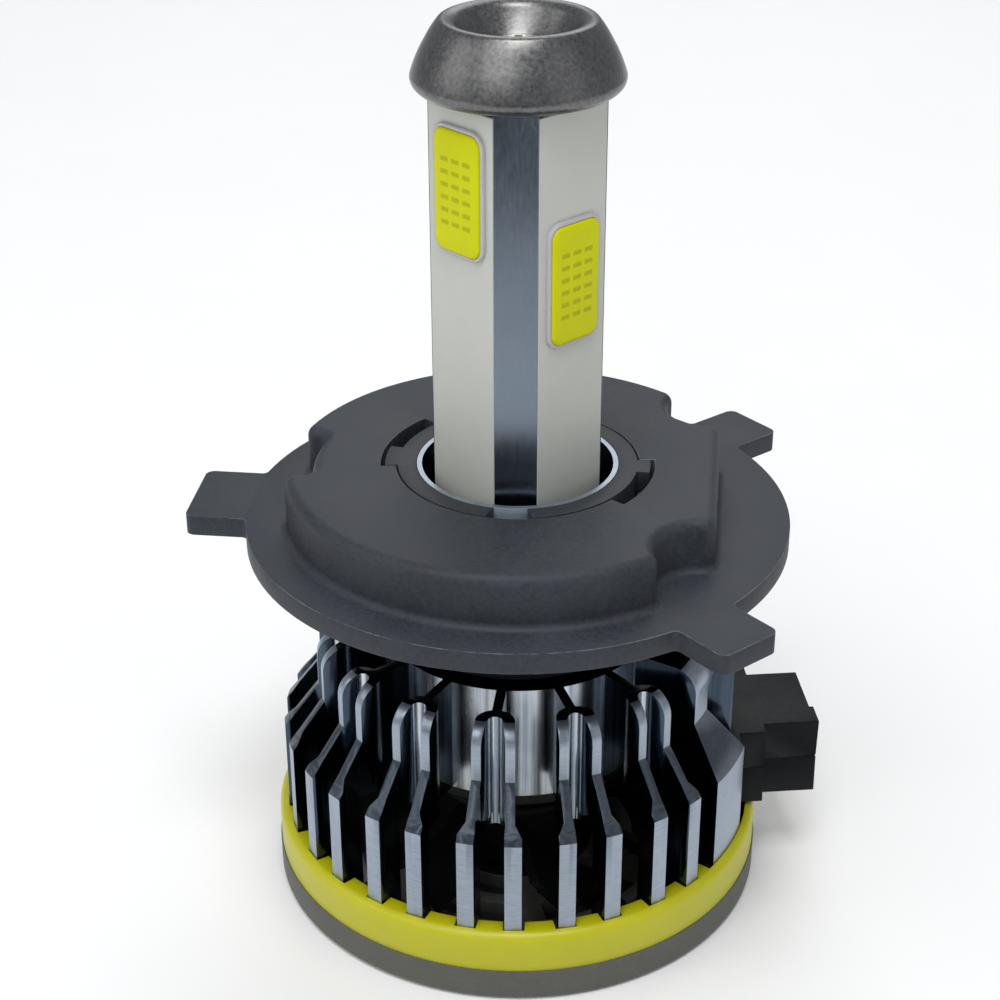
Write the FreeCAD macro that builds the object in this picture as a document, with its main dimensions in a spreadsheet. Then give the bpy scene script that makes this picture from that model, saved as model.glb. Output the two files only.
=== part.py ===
import FreeCAD, Part
import Sketcher
import math
import os
import re

# LED headlight bulb on a three-lug base of 43 mm, millimetres.
# The axis is Z.  Z = 0 is the seating face of the flange disc, and the lamp end is up.

SIZES = {
    # mounting flange
    "disc_radius": 21.5, "disc_thickness": 1.7, "lug_length": 4.6, "lug_bite": 2.5,
    "wide_lug_width": 7.9, "narrow_lug_width": 5.55, "wide_lug_angle": 173.5, "narrow_lug_spread": 44.5,
    "lug_corner": 0.7, "lug_fillet": 0.5,
    "rim_width": 3.2, "plateau_height": 4.3, "flat_cut": 2.55, "plateau_corner": 1.0,
    "plateau_round": 0.9, "plateau_foot": 0.6, "scallop_offset": 0.9, "scallop_radius": 3.65,
    "scallop_spread": 39, "notch_cut": 2.2, "notch_half_angle": 12.5,
    "bore_gap": 0.15, "slot_gap": 0.35, "ear_gap": 0.1, "slot_travel": 31,
    "relief_wall": 2.85, "relief_width": 1.6, "relief_roof": 2.1,
    # lock collar and its ring
    "slip_gap": 0.05, "collar_wall": 1.45, "ear_length": 1.0, "ear_height": 1.7,
    "left_ear_start": 165, "left_ear_end": 183.5, "right_ear_start": -11.5, "right_ear_end": 0.5,
    "notch_angle": -94.5, "notch_width": 2.6, "notch_depth": 2.0,
    "shoulder_width": 2.6, "shoulder_height": 1.75, "seal_section": 0.72, "seal_gap": 0.1,
    # heat sink
    "sink_top": -10.0, "sink_height": 20.0, "hub_height": 9.9, "hub_radius": 11.0,
    "barrel_wall": 0.4, "post_gap": 0.85, "barrel_depth": 4.0,
    "fin_pitch": 23.4, "first_fork": -50.1, "stem_half": 0.39, "arch_back": 1.2, "arch_taper": 0.3,
    "prong_inner": 0.94, "prong_width": 0.75, "tip_splay": 0.2, "tip_width": 1.34, "tip_flare": 1.1,
    "upper_radius": 16.45, "fin_step": 2.93, "neck_height": 4.7, "cone_height": 3.85, "top_round": 2.0,
    "skirt_depth": 2.5, "boss_angle": 4.9, "boss_spread": 37, "boss_flare": 42,
    "boss_back_spread": 33, "boss_back_flare": 37,
    "gate_half": 7.75, "gate_roof": 2.6, "gate_wall": 1.6, "rib_place": 6.05, "rib_half": 0.3,
    # post, boards and chips
    "strip_place": 6.45, "strip_half": 1.63, "post_turn": -1.9, "board_thickness": 0.8, "post_top": 34.2,
    "board_inset": 0.2, "board_foot": 0.5, "board_gap": 0.03,
    "gel_width": 4.7, "gel_height": 9.1, "gel_corner": 0.9, "gel_thickness": 0.35, "gel_lift": 0.15,
    "dam_width": 0.38, "dam_height": 0.32, "low_beam_height": 27.8, "high_beam_height": 21.1,
    "die_width": 0.75, "die_height": 0.4, "die_thickness": 0.15, "die_column": 1.15, "die_row": 0.95,
    # cap and screws
    "cap_overhang": 1.39, "cap_height": 5.4, "crest_inset": 2.7, "dish_depth": 2.9, "rim_height": 0.75,
    "flank_start": 1.9, "flank_bow": 7.0, "dish_bow": 4.2, "cap_round": 0.75, "crest_round": 0.35,
    "cap_screw_radius": 1.25, "cap_screw_head": 2.0, "cap_screw_length": 10.0,
    "post_screw_radius": 1.5, "post_screw_head": 2.8, "post_screw_length": 11.0,
    "cover_screw_radius": 0.8, "cover_screw_head": 1.4, "cover_screw_spread": 30.5, "cover_screw_length": 5.5,
    "driver_screw_radius": 0.75, "driver_screw_head": 1.4, "driver_screw_length": 5.0,
    "screw_gap": 0.1, "thread_gap": 0.02,
    # ring and cover
    "ring_lip": 0.77, "ring_hold": 1.0, "ring_height": 3.4, "ring_rest": 0.1, "ring_gap": 0.05,
    "ring_round": 0.75, "cover_lip": 0.1, "cover_height": 2.75, "cover_floor": 1.2,
    "cover_edge": 0.4, "vent_start": 6.6, "vent_width": 2.2, "vent_pitch": 3.4, "vent_half_angle": 24,
    # fan
    "blade_gap": 1.3, "rotor_radius": 7.0, "rotor_drop": 4.4, "rotor_lift": 1.1, "rotor_wall": 0.6,
    "blade_thickness": 0.55, "blade_tilt": 38, "magnet_wall": 1.0, "shaft_radius": 0.75, "sleeve_outer": 1.7,
    "running_gap": 0.03, "air_gap": 0.7, "arm_half": 1.0, "arm_thickness": 0.9, "frame_lip": 0.3,
    # driver board and plug
    "driver_inset": 0.6, "driver_thickness": 1.0, "driver_drop": 0.3, "tongue_half": 4.0,
    "driver_screw_inset": 2.8, "neck_show": 0.85, "socket_length": 4.3, "socket_half": 3.8,
    "socket_lift": 0.7, "socket_height": 7.0, "neck_half": 5.0, "neck_gap": 0.04, "socket_wall": 0.9,
    "socket_depth": 5.7, "socket_lip": 0.35, "gate_plate": 0.7, "gate_gap": 0.3,
    "pin_half": 0.32, "pin_height": 1.6, "pin_length": 3.4, "pin_pitch": 1.8, "pin_tail": 1.0,
    "lead_radius": 0.42, "lead_half_gap": 1.15, "lead_rise": 1.5,
}

# Places and radii that follow from the sizes above, so that pieces which fit together stay together.
FITS = {
    "lug_reach": "disc_radius + lug_length", "lug_root": "disc_radius - lug_bite",
    "plateau_radius": "disc_radius - rim_width", "plateau_flat": "plateau_radius - flat_cut",
    "scallop_place": "plateau_radius + scallop_offset", "notch_inner": "plateau_radius - notch_cut",
    "post_reach": "sqrt(strip_place * strip_place + strip_half * strip_half)",
    "board_front": "(strip_place + strip_half) * sqrt(0.5)",
    "board_width": "(strip_place - strip_half) * sqrt(2) - 2 * board_gap",
    "board_top": "post_top - board_inset",
    "barrel_inner": "post_reach + post_gap", "barrel_outer": "barrel_inner + barrel_wall",
    "barrel_floor": "sink_top - barrel_depth", "collar_inner": "barrel_outer + slip_gap",
    "collar_outer": "collar_inner + collar_wall", "ear_reach": "collar_outer + ear_length",
    "shoulder_radius": "collar_outer + shoulder_width", "flange_bore": "collar_outer + bore_gap",
    "slot_radius": "ear_reach + slot_gap", "slot_floor": "plateau_height - ear_height - ear_gap",
    "relief_inner": "flange_bore + relief_wall", "relief_outer": "relief_inner + relief_width",
    "relief_depth": "plateau_height + disc_thickness - relief_roof",
    "hub_bottom": "sink_top - hub_height", "sink_bottom": "sink_top - sink_height",
    "lower_radius": "upper_radius + fin_step", "upper_edge": "sink_top - neck_height",
    "lower_edge": "upper_edge - cone_height", "arch_place": "upper_radius - arch_back",
    "prong_outer": "prong_inner + prong_width", "arch_inner": "prong_inner - arch_taper",
    "arch_outer": "prong_outer - arch_taper / 2", "tip_inner": "prong_inner + tip_splay",
    "tip_outer": "tip_inner + tip_width", "tip_start": "lower_radius - tip_flare",
    "cavity_radius": "lower_radius - skirt_depth", "gate_top": "sink_top - gate_roof",
    "gate_depth": "hub_radius + gate_wall",
    "cap_radius": "post_reach + cap_overhang", "crest_radius": "cap_radius - crest_inset",
    "ring_outer": "lower_radius + ring_lip", "ring_inner": "lower_radius - ring_hold",
    "ring_bottom": "sink_bottom + ring_rest", "ring_top": "ring_bottom + ring_height",
    "cover_radius": "ring_outer + cover_lip", "cover_inner": "lower_radius + ring_gap",
    "cover_bottom": "sink_bottom - cover_height",
    "cover_screw_place": "(cavity_radius + lower_radius) / 2", "floor_top": "cover_bottom + cover_floor",
    "blade_reach": "cavity_radius - blade_gap", "frame_ring": "cavity_radius - frame_lip",
    "rotor_top": "hub_bottom - rotor_drop", "rotor_bottom": "floor_top + arm_thickness + rotor_lift",
    "stator_radius": "rotor_radius - rotor_wall - magnet_wall - air_gap",
    "driver_top": "hub_bottom - driver_drop", "driver_radius": "hub_radius - driver_inset",
    "driver_screw_place": "hub_radius - driver_screw_inset",
    "plate_half": "gate_half - gate_gap", "plate_reach": "cover_inner - neck_gap",
    "neck_start": "sqrt(plate_reach * plate_reach - plate_half * plate_half) - gate_plate",
    "socket_start": "lower_radius + neck_show",
    "socket_end": "socket_start + socket_length", "socket_floor": "socket_end - socket_depth",
    "socket_top": "hub_bottom + socket_lift",
    "lead_place": "board_front + lead_radius", "dish_floor": "post_top + cap_height - dish_depth",
}

FORKS = 12
BLADES = 9
VENT_RINGS = 3
DIE_COLUMNS = 3
DIE_ROWS = 6
FACE_ANGLES = {"front_left": -45, "front_right": 45, "back_right": 135, "back_left": -135}
LOW_BEAM_FACES = ("front_left", "back_right")

document = FreeCAD.newDocument("headlight_bulb")
Vector = FreeCAD.Vector
UP = Vector(0, 0, 1)

sheet = document.addObject("Spreadsheet::Sheet", "sizes")
for row, (alias, number) in enumerate(SIZES.items(), 1):
    sheet.set(f"A{row}", alias)
    sheet.set(f"B{row}", str(number))
    sheet.setAlias(f"B{row}", alias)
document.recompute()


def bound(text):
    """The expression text with every name written out, down to the cells of the sheet."""
    def written_out(word):
        if word[0] in FITS:
            return "(" + bound(FITS[word[0]]) + ")"
        return "sizes." + word[0] if word[0] in SIZES else word[0]
    return re.sub(r"[a-z_]+", written_out, text)


def size(text):
    """What a name, or an expression of names, comes to now."""
    return float(sheet.evalExpression(bound(text)))


def tie(feature, **properties):
    """Bind the feature's properties to expressions of the sheet."""
    for name, text in properties.items():
        feature.setExpression(name, bound(text))
    return feature


# ---------------------------------------------------------------- bodies and sketches

def new_body(label):
    body = document.addObject("PartDesign::Body", label)
    body.Label = label
    return body


def origin_part(body, role):
    return next(item for item in body.Origin.OriginFeatures if item.Role == role)


def new_sketch(body, plane="XY_Plane", lift="0"):
    """A sketch on one of the body's own planes, moved along the plane's normal."""
    sketch = body.newObject("Sketcher::SketchObject", body.Label + "_sketch")
    sketch.AttachmentSupport = [(origin_part(body, plane), "")]
    sketch.MapMode = "FlatFace"
    if lift != "0":
        sketch.setExpression("AttachmentOffset.Base.z", bound(lift))
    return sketch


def fix_point(sketch, curve, end, x, y):
    """Hold one end of a curve at a place that two expressions give."""
    for kind, axis, text in (("DistanceX", -2, x), ("DistanceY", -1, y)):
        if text == "0":
            sketch.addConstraint(Sketcher.Constraint("PointOnObject", curve, end, axis))
            continue
        index = sketch.addConstraint(Sketcher.Constraint(kind, -1, 1, curve, end, size(text)))
        sketch.setExpression(f"Constraints[{index}]", bound(text))


def outline(sketch, corners):
    """A closed outline.  A corner is (x, y), or (x, y, radius, side) where an arc leads on to the next
    corner, with its centre on the left (side 1) or the right (side -1)."""
    spots = [Vector(size(corner[0]), size(corner[1]), 0) for corner in corners]
    curves = []
    for index, corner in enumerate(corners):
        start, stop = spots[index], spots[(index + 1) % len(corners)]
        if len(corner) == 2:
            curves.append((sketch.addGeometry(Part.LineSegment(start, stop), False), 1, 2))
            continue
        radius, side = size(corner[2]), corner[3]
        chord = stop - start
        height = math.sqrt(max(radius ** 2 - chord.Length ** 2 / 4, 0))
        centre = (start + stop) / 2 + Vector(-chord.y, chord.x, 0).normalize() * height * side
        first, last = (start, stop) if side > 0 else (stop, start)
        turn = [math.atan2(spot.y - centre.y, spot.x - centre.x) for spot in (first, last)]
        arc = Part.ArcOfCircle(Part.Circle(centre, UP, radius), turn[0], turn[1])
        curve = sketch.addGeometry(arc, False)
        curves.append((curve, 1, 2) if side > 0 else (curve, 2, 1))
    for index, (curve, start, stop) in enumerate(curves):
        after, after_start, _ = curves[(index + 1) % len(curves)]
        sketch.addConstraint(Sketcher.Constraint("Coincident", curve, stop, after, after_start))
        fix_point(sketch, curve, start, *corners[index][:2])
        if len(corners[index]) == 4:
            number = sketch.addConstraint(Sketcher.Constraint("Radius", curve, size(corners[index][2])))
            sketch.setExpression(f"Constraints[{number}]", bound(corners[index][2]))


def circle(sketch, radius, x="0", y="0"):
    centre = Vector(size(x), size(y), 0)
    curve = sketch.addGeometry(Part.Circle(centre, UP, size(radius)), False)
    if x == "0" and y == "0":
        sketch.addConstraint(Sketcher.Constraint("Coincident", curve, 3, -1, 1))
    else:
        fix_point(sketch, curve, 3, x, y)
    index = sketch.addConstraint(Sketcher.Constraint("Radius", curve, size(radius)))
    sketch.setExpression(f"Constraints[{index}]", bound(radius))


def polar(radius, angle, across="0"):
    """The place at a radius and an angle, and a little across, as two expressions."""
    return (f"({radius}) * cos({angle}) - ({across}) * sin({angle})",
            f"({radius}) * sin({angle}) + ({across}) * cos({angle})")


def sector(sketch, inner, outer, start, stop):
    """A piece of a ring between two radii and two angles."""
    outline(sketch, [polar(inner, start), (*polar(outer, start), outer, 1), polar(outer, stop),
                     (*polar(inner, stop), inner, -1)])


def slab(sketch, inner, outer, half, angle):
    """A rectangle that points outwards at an angle."""
    outline(sketch, [polar(inner, angle, f"-({half})"), polar(outer, angle, f"-({half})"),
                     polar(outer, angle, half), polar(inner, angle, half)])


def pad(body, sketch, length, down=False):
    feature = body.newObject("PartDesign::Pad", body.Label + "_pad")
    feature.Profile = sketch
    feature.Refine = True
    feature.Reversed = down
    return tie(feature, Length=length)


def pocket(body, sketch, length, up=False):
    feature = body.newObject("PartDesign::Pocket", body.Label + "_pocket")
    feature.Profile = sketch
    feature.Refine = True
    feature.Reversed = up
    return tie(feature, Length=length)


def turned(body, sketch, kind="Revolution"):
    """Spin the sketch about the axis of the bulb, to add or to cut."""
    feature = body.newObject("PartDesign::" + kind, f"{body.Label}_{kind.lower()}")
    feature.Profile = sketch
    feature.ReferenceAxis = (sketch, ["V_Axis"])
    feature.Angle = 360
    return feature


def around(body, feature, count, angle):
    """Repeat a feature about the axis, with the angle between the first copy and the last."""
    pattern = body.newObject("PartDesign::PolarPattern", body.Label + "_pattern")
    pattern.Originals = [feature]
    pattern.Axis = (origin_part(body, "Z_Axis"), [""])
    pattern.Occurrences = count
    tie(pattern, Angle=angle)
    body.Tip = pattern
    return pattern


def rounded(body, radius, wanted):
    """Fillet the edges of the body's present shape that the test picks."""
    document.recompute()
    base = body.Tip
    names = [f"Edge{number}" for number, edge in enumerate(base.Shape.Edges, 1) if wanted(edge)]
    feature = body.newObject("PartDesign::Fillet", body.Label + "_fillet")
    feature.Base = (base, names)
    return tie(feature, Radius=radius)


def middle(edge):
    return edge.valueAt((edge.FirstParameter + edge.LastParameter) / 2)


def upright(edge):
    ends = [vertex.Point for vertex in edge.Vertexes]
    return len(ends) == 2 and (ends[0] - ends[1]).cross(UP).Length < 1e-6


def level(edge, height):
    return all(abs(vertex.Point.z - height) < 1e-4 for vertex in edge.Vertexes)


def reach(point):
    return math.hypot(point.x, point.y)


def solid(label, shape, placement=None):
    """A piece that is a plain shape, or a group of separate solids."""
    feature = document.addObject("Part::Feature", label)
    feature.Label = label
    feature.Shape = shape
    if placement:
        feature.Placement = placement
    return feature


def rod(radius, height, x=0, y=0, z=0):
    return Part.makeCylinder(radius, height, Vector(x, y, z))


def block(length, width, height, x=0, y=0, z=0):
    """A box that is centred on x and y and stands on z."""
    return Part.makeBox(length, width, height, Vector(x - length / 2, y - width / 2, z))


def swung(shape, angle):
    """A copy of the shape, turned about the axis of the bulb."""
    copy = shape.copy()
    copy.rotate(Vector(0, 0, 0), UP, angle)
    return copy


# ---------------------------------------------------------------- flange and collar

def mounting_flange():
    """Disc with three lugs, a raised plateau with bays in its wall, and the bayonet slots."""
    body = new_body("mounting_flange")
    opposite = "wide_lug_angle - 180"
    lugs = (("wide_lug_angle", "wide_lug_width"),
            (f"{opposite} + narrow_lug_spread", "narrow_lug_width"),
            (f"{opposite} - narrow_lug_spread", "narrow_lug_width"))
    disc = new_sketch(body)
    circle(disc, "disc_radius")
    pad(body, disc, "disc_thickness", down=True)
    for angle, width in lugs:
        lug = new_sketch(body)
        slab(lug, "lug_root", "lug_reach", f"{width} / 2", angle)
        pad(body, lug, "disc_thickness", down=True)
    rim = size("disc_radius")
    rounded(body, "lug_corner", lambda edge: upright(edge) and reach(middle(edge)) > rim + 2)
    rounded(body, "lug_fillet", lambda edge: upright(edge) and abs(reach(middle(edge)) - rim) < 0.01
            and abs(middle(edge).y) > 0.01)

    plateau = new_sketch(body)
    circle(plateau, "plateau_radius")
    pad(body, plateau, "plateau_height")
    flat = new_sketch(body)
    slab(flat, "plateau_flat", "plateau_radius + 4", "plateau_radius", opposite)
    pocket(body, flat, "plateau_height + 1", up=True)
    for side in ("-", "+"):
        scallop = new_sketch(body)
        circle(scallop, "scallop_radius", *polar("scallop_place", f"{opposite} {side} scallop_spread"))
        pocket(body, scallop, "plateau_height + 1", up=True)
    notch = new_sketch(body)
    sector(notch, "notch_inner", "plateau_radius + 2", "wide_lug_angle - notch_half_angle",
           "wide_lug_angle + notch_half_angle")
    pocket(body, notch, "plateau_height + 1", up=True)
    top = size("plateau_height")
    rounded(body, "plateau_corner", lambda edge: upright(edge) and abs(middle(edge).z - top / 2) < 0.01
            and reach(middle(edge)) < size("plateau_radius") + 0.01 and not on_seam(edge))
    rounded(body, "plateau_round", lambda edge: level(edge, top))
    rounded(body, "plateau_foot", lambda edge: level(edge, 0) and widest(edge) < rim - 1)

    bore = new_sketch(body, lift="plateau_height")
    circle(bore, "flange_bore")
    pocket(body, bore, "plateau_height + disc_thickness + 1")
    seal_seat = new_sketch(body, lift="-disc_thickness")
    circle(seal_seat, "collar_outer + 2 * seal_section + 3 * seal_gap")
    pocket(body, seal_seat, "2 * seal_section", up=True)
    relief = new_sketch(body, lift="-disc_thickness")
    circle(relief, "relief_inner")
    circle(relief, "relief_outer")
    pocket(body, relief, "relief_depth", up=True)
    for start, stop in EARS:
        run = new_sketch(body, lift="slot_floor")
        sector(run, "flange_bore - 1", "slot_radius", f"{start} - slot_travel", f"{stop} + 0.5")
        pocket(body, run, "plateau_height", up=True)
        way_out = new_sketch(body, lift="slot_floor")
        sector(way_out, "flange_bore - 1", "slot_radius", f"{start} - slot_travel",
               f"{stop} + 0.5 - slot_travel")
        pocket(body, way_out, "slot_floor + disc_thickness + 1")


def on_seam(edge):
    """Whether an upright edge is only where a round wall closes on itself."""
    spot = middle(edge)
    return abs(spot.y) < 0.01 and abs(spot.x - size("plateau_radius")) < 0.01


def widest(edge):
    return max(reach(edge.valueAt(edge.FirstParameter + share * (edge.LastParameter - edge.FirstParameter)))
               for share in (0, 0.25, 0.5, 0.75, 1))


def lock_collar():
    """Sleeve round the barrel with a shoulder under the flange and two bayonet ears."""
    body = new_body("lock_collar")
    profile = new_sketch(body, "XZ_Plane")
    shoulder = "-disc_thickness - seal_gap"
    outline(profile, [("collar_inner", "sink_top"), ("collar_outer", "sink_top"),
                      ("collar_outer", f"{shoulder} - shoulder_height"),
                      ("shoulder_radius", f"{shoulder} - shoulder_height"), ("shoulder_radius", shoulder),
                      ("collar_outer", shoulder), ("collar_outer", "plateau_height"),
                      ("collar_inner", "plateau_height")])
    turned(body, profile)
    for start, stop in EARS:
        ear = new_sketch(body, lift="plateau_height")
        sector(ear, "collar_outer - 0.5", "ear_reach", start, stop)
        pad(body, ear, "ear_height", down=True)
    notch = new_sketch(body, lift="plateau_height")
    half = "notch_width / 2"
    outline(notch, [polar("collar_inner - 1", "notch_angle", f"-({half})"),
                    polar("collar_inner", "notch_angle", f"-({half})"),
                    polar("collar_outer + 0.4", "notch_angle", f"-({half}) - 0.7"),
                    polar("collar_outer + 0.4", "notch_angle", f"{half} + 0.7"),
                    polar("collar_inner", "notch_angle", half),
                    polar("collar_inner - 1", "notch_angle", half)])
    pocket(body, notch, "notch_depth")


def flange_o_ring():
    """Rubber ring that rubs on the flange and holds it where it is turned to."""
    ring = document.addObject("Part::Torus", "flange_o_ring")
    ring.Label = "flange_o_ring"
    tie(ring, Radius1="collar_outer + seal_section + seal_gap", Radius2="seal_section")
    ring.setExpression("Placement.Base.z", bound("seal_section - disc_thickness - seal_gap"))


# ---------------------------------------------------------------- heat sink and post

def heatsink():
    """One piece of aluminium: barrel, hub, forked fins, and the boss that the plug comes out of."""
    body = new_body("heatsink")
    height = "sink_top - sink_bottom"
    hub = new_sketch(body, lift="sink_top")
    circle(hub, "hub_radius")
    pad(body, hub, height, down=True)

    beyond = "lower_radius + 1.5"
    flare = "tip_start + tip_flare / 2"
    there = [("hub_radius - 0.6", "stem_half"),
             ("arch_place - sqrt(arch_outer * arch_outer - stem_half * stem_half)", "stem_half"),
             ("arch_place", "arch_outer"), ("upper_radius", "prong_outer"),
             ("tip_start", "prong_outer + tip_splay"), (flare, "tip_outer"),
             (beyond, "tip_outer + tip_splay"), (beyond, "tip_inner + tip_splay"),
             (flare, "tip_inner"), ("tip_start", "prong_inner + tip_splay"),
             ("upper_radius", "prong_inner"), ("arch_place", "arch_inner")]
    apex = ("arch_place - arch_inner", "0")
    back = [(radius, f"-({across})") for radius, across in reversed(there)]
    arcs = {1: ("arch_outer", -1), 11: ("arch_inner", 1), 12: ("arch_inner", 1), 22: ("arch_outer", -1)}
    fork = new_sketch(body, lift="sink_top")
    outline(fork, [polar(radius, "first_fork", across) + arcs.get(index, ())
                   for index, (radius, across) in enumerate(there + [apex] + back)])
    fork_pad = pad(body, fork, height, down=True)
    pattern = around(body, fork_pad, FORKS, f"fin_pitch * {FORKS - 1}")
    pattern.Reversed = True

    boss = new_sketch(body, lift="sink_top")
    outline(boss, [polar("hub_radius - 1", "boss_angle - boss_spread"),
                   polar("upper_radius", "boss_angle - boss_spread"),
                   (*polar(beyond, "boss_angle - boss_flare"), beyond, 1),
                   polar(beyond, "boss_angle + boss_back_flare"),
                   polar("upper_radius", "boss_angle + boss_back_spread"),
                   polar("hub_radius - 1", "boss_angle + boss_back_spread")])
    pad(body, boss, height, down=True)

    outside = new_sketch(body, "XZ_Plane")
    clear = "lower_radius + 4"
    outline(outside, [("upper_radius - top_round", "sink_top", "top_round", -1),
                      ("upper_radius", "sink_top - top_round"), ("upper_radius", "upper_edge"),
                      ("lower_radius", "lower_edge"), ("lower_radius", "sink_bottom - 1"),
                      (clear, "sink_bottom - 1"), (clear, "sink_top + 1"),
                      ("upper_radius - top_round", "sink_top + 1")])
    turned(body, outside, "Groove")
    cavity = new_sketch(body, lift="hub_bottom")
    circle(cavity, "cavity_radius")
    pocket(body, cavity, "hub_bottom - sink_bottom + 1")
    gate = new_sketch(body, lift="gate_top")
    slab(gate, "gate_depth", "lower_radius + 3", "gate_half", "boss_angle")
    pocket(body, gate, "gate_top - sink_bottom + 1")
    rib = new_sketch(body, lift="gate_top + gate_roof / 2")
    outline(rib, [polar(radius, "boss_angle", f"-rib_place {side} rib_half")
                  for radius, side in (("gate_depth - 1", "-"), ("cavity_radius", "-"),
                                       ("cavity_radius", "+"), ("gate_depth - 1", "+"))])
    pad(body, rib, "gate_top + gate_roof / 2 - socket_top", down=True)

    barrel = new_sketch(body, lift="sink_top")
    circle(barrel, "barrel_outer")
    pad(body, barrel, "plateau_height - sink_top")
    bore = new_sketch(body, lift="plateau_height")
    circle(bore, "barrel_inner")
    pocket(body, bore, "plateau_height - barrel_floor")
    screw_hole = new_sketch(body, lift="barrel_floor")
    circle(screw_hole, "post_screw_radius + screw_gap")
    pocket(body, screw_hole, "barrel_floor - hub_bottom + 1")
    screw_seat = new_sketch(body, lift="hub_bottom")
    circle(screw_seat, "post_screw_head + 2 * screw_gap")
    pocket(body, screw_seat, "2", up=True)
    leads = new_sketch(body, lift="barrel_floor")
    for angle in FACE_ANGLES.values():
        for side in ("", "-"):
            spot = polar("lead_place", f"{angle} - 90 + post_turn", f"{side}lead_half_gap")
            circle(leads, "lead_radius + screw_gap", *spot)
    pocket(body, leads, "barrel_floor - hub_bottom + 1")
    for lift, radius, place, angles in (
            ("sink_bottom", "cover_screw_radius", "cover_screw_place",
             ("boss_angle - cover_screw_spread", "boss_angle + cover_screw_spread")),
            ("hub_bottom", "driver_screw_radius", "driver_screw_place", ("90", "270"))):
        screws = new_sketch(body, lift=lift)
        for angle in angles:
            circle(screws, radius, *polar(place, angle))
        pocket(body, screws, "5", up=True)


def led_post():
    """Eight-sided bar: four polished strips and, between them, four sunk seats for the boards."""
    body = new_body("led_post")
    section = new_sketch(body, lift="barrel_floor")
    step = "(board_thickness * sqrt(0.5))"
    corners = []
    for quarter in ("-90", "0", "90", "180"):
        for place, across in (("strip_place - " + step, "-(strip_half - " + step + ")"),
                              ("strip_place", "-strip_half"), ("strip_place", "strip_half"),
                              ("strip_place - " + step, "strip_half - " + step)):
            corners.append(polar(place, quarter + " + post_turn", across))
    outline(section, corners)
    pad(body, section, "post_top - barrel_floor")
    for lift, radius, depth, up in (("post_top", "cap_screw_radius", "cap_screw_length", False),
                                    ("barrel_floor", "post_screw_radius", "post_screw_length", True)):
        hole = new_sketch(body, lift=lift)
        circle(hole, radius)
        pocket(body, hole, depth, up=up)


def rounded_tile(width, height, thickness, corner, depth, middle_height):
    """A plate with round corners that faces the front, with its back at y = -depth."""
    tile = Part.makeBox(width, thickness, height,
                        Vector(-width / 2, -depth - thickness, middle_height - height / 2))
    return tile.makeFillet(corner, [edge for edge in tile.Edges if abs(edge.tangentAt(0).y) > 0.99])


def led_boards():
    """On each side of the post: the board, the dam on it, and the gel over the rows of dies."""
    front, width = size("board_front"), size("board_width")
    for face, side_angle in FACE_ANGLES.items():
        centre = size("low_beam_height" if face in LOW_BEAM_FACES else "high_beam_height")
        board = document.addObject("Part::Box", "led_board_" + face)
        board.Label = "led_board_" + face
        board.Length = width
        tie(board, Width="board_thickness", Height="board_top - board_foot")
        shift = FreeCAD.Placement(Vector(-width / 2, -front, size("board_foot")), FreeCAD.Rotation())
        angle = side_angle + size("post_turn")
        board.Placement = FreeCAD.Placement(Vector(0, 0, 0), FreeCAD.Rotation(UP, angle)) * shift

        wide, tall, corner = size("gel_width"), size("gel_height"), size("gel_corner")
        rim = 2 * size("dam_width")
        dam = rounded_tile(wide + rim, tall + rim, size("dam_height"), corner + rim / 2, front, centre)
        hole = rounded_tile(wide, tall, size("dam_height"), corner, front, centre)
        solid("led_dam_" + face, swung(dam.cut(hole), angle))
        gel = rounded_tile(wide, tall, size("gel_thickness"), corner, front + size("gel_lift"), centre)
        solid("phosphor_gel_" + face, swung(gel, angle))
        dies = []
        for column in range(DIE_COLUMNS):
            for line in range(DIE_ROWS):
                across = (column - (DIE_COLUMNS - 1) / 2) * size("die_column")
                rise = (line - (DIE_ROWS - 1) / 2) * size("die_row")
                dies.append(block(size("die_width"), size("die_thickness"), size("die_height"), across,
                                  -front - size("die_thickness") / 2, centre + rise - size("die_height") / 2))
        solid("led_dies_" + face, swung(Part.makeCompound(dies), angle))


def led_leads():
    """Two stiff leads from the foot of each board, down through the hub to the driver board."""
    top, bottom = size("board_foot + lead_rise"), size("driver_top")
    leads = [swung(rod(size("lead_radius"), top - bottom, side * size("lead_half_gap"),
                       -size("lead_place"), bottom), angle + size("post_turn"))
             for angle in FACE_ANGLES.values() for side in (-1, 1)]
    solid("led_leads", Part.makeCompound(leads))


def end_cap():
    """Die-cast cap with a flared rim, a rounded crest and a smooth dish."""
    body = new_body("end_cap")
    profile = new_sketch(body, "XZ_Plane")
    hole, crest = "cap_screw_radius + screw_gap", "post_top + cap_height"
    outline(profile, [(hole, "post_top"), ("cap_radius - rim_height", "post_top"),
                      ("cap_radius", "post_top + rim_height"),
                      ("cap_radius - 0.05", "post_top + flank_start", "flank_bow", 1),
                      ("crest_radius + crest_round", crest),
                      ("crest_radius - crest_round", crest, "dish_bow", -1),
                      ("cap_screw_head + 4 * screw_gap", "dish_floor"), (hole, "dish_floor")])
    turned(body, profile)
    rounded(body, "cap_round", lambda edge: level(edge, size("post_top + rim_height"))
            or level(edge, size("post_top + flank_start")))
    rounded(body, "crest_round", lambda edge: level(edge, size(crest)))


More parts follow.
